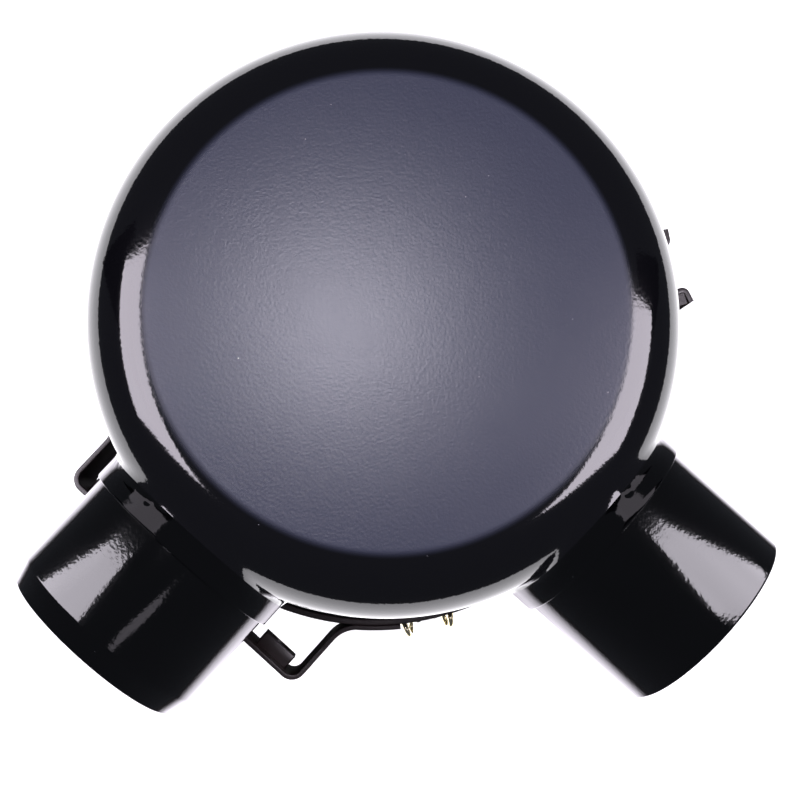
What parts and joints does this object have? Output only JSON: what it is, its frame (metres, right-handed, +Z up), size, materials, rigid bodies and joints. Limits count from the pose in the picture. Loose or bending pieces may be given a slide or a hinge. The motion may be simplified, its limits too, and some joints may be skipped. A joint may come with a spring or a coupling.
{
  "type": "air filter housing",
  "caption": "Painted steel canister air filter housing with two radial hose ports, a dust cup on wire latches, a filter element, and a band clamp with a mounting bracket.",
  "frame": {"origin": "centre of the dust cup's flat resting face, on the canister's axis", "axes": "+Z up the canister's axis to its closed end; -Y out of the inlet port, and the way the bracket's mounting face looks; +X out of the outlet port"},
  "size_m": [0.2148, 0.2227, 0.19],
  "materials": {
    "can_paint": "gloss black paint, satin on the closed end",
    "tube_paint": "gloss black paint",
    "bracket_paint": "black paint",
    "bare_steel": "galvanised sheet",
    "zinc_plate": "yellow zinc plate",
    "latch_wire": "bright yellow zinc spring wire",
    "rubber": "moulded",
    "filter_paper": "resin-treated pleated paper",
    "black_plastic": "moulded"
  },
  "bodies": {
    "housing": {"canister": "can_paint", "inlet_tube": "tube_paint", "outlet_tube": "tube_paint", "outlet_cup": "bare_steel", "centre_stud": "bare_steel", "element_gasket": "rubber", "element_top_cap": "zinc_plate", "pleat_pack": "filter_paper", "outer_liner": "bare_steel", "inner_liner": "bare_steel", "element_bottom_cap": "zinc_plate", "vane_ring": "black_plastic", "dust_cup": "can_paint", "dust_cup_gasket": "rubber", "dust_baffle": "bare_steel", "band_liner": "rubber", "band_clamp": "bracket_paint", "clamp_bolt": "zinc_plate", "clamp_washers": "zinc_plate", "clamp_nut": "zinc_plate", "mount_bracket": "bracket_paint", "weld_nuts": "bracket_paint", "latch_bracket_1": "zinc_plate", "latch_bracket_2": "zinc_plate", "latch_bracket_3": "zinc_plate"},
    "latch_1": {"latch_wire_1": "latch_wire"},
    "latch_2": {"latch_wire_2": "latch_wire"},
    "latch_3": {"latch_wire_3": "latch_wire"},
    "washer": {"seal_washer": "rubber"},
    "nut": {"wing_nut": "zinc_plate"}
  },
  "joints": [
    {"name": "latch_1_swing", "type": "hinge", "parent": "housing", "child": "latch_1", "pos_m": [0.07307, -0.05116, 0.056], "axis": [-0.5736, -0.8192, 0], "range_deg": [0, 125]},
    {"name": "latch_2_swing", "type": "hinge", "parent": "housing", "child": "latch_2", "pos_m": [0.00777, 0.08886, 0.056], "axis": [0.9962, -0.0872, 0], "range_deg": [0, 125]},
    {"name": "latch_3_swing", "type": "hinge", "parent": "housing", "child": "latch_3", "pos_m": [-0.08084, -0.0377, 0.056], "axis": [-0.4226, 0.9063, 0], "range_deg": [0, 125]},
    {"name": "nut_travel", "type": "slide", "parent": "housing", "child": "washer", "axis": [0, 0, -1], "range_m": [0, 0.0026]},
    {"name": "nut_turn", "type": "hinge", "parent": "washer", "child": "nut", "pos_m": [0, 0, 0.016], "axis": [0, 0, -1], "range_deg": [0, 720]}
  ],
  "couplings": [
    {"joint": "nut_travel", "follows": "nut_turn", "m_per_rad": 0.00019894}
  ]
}
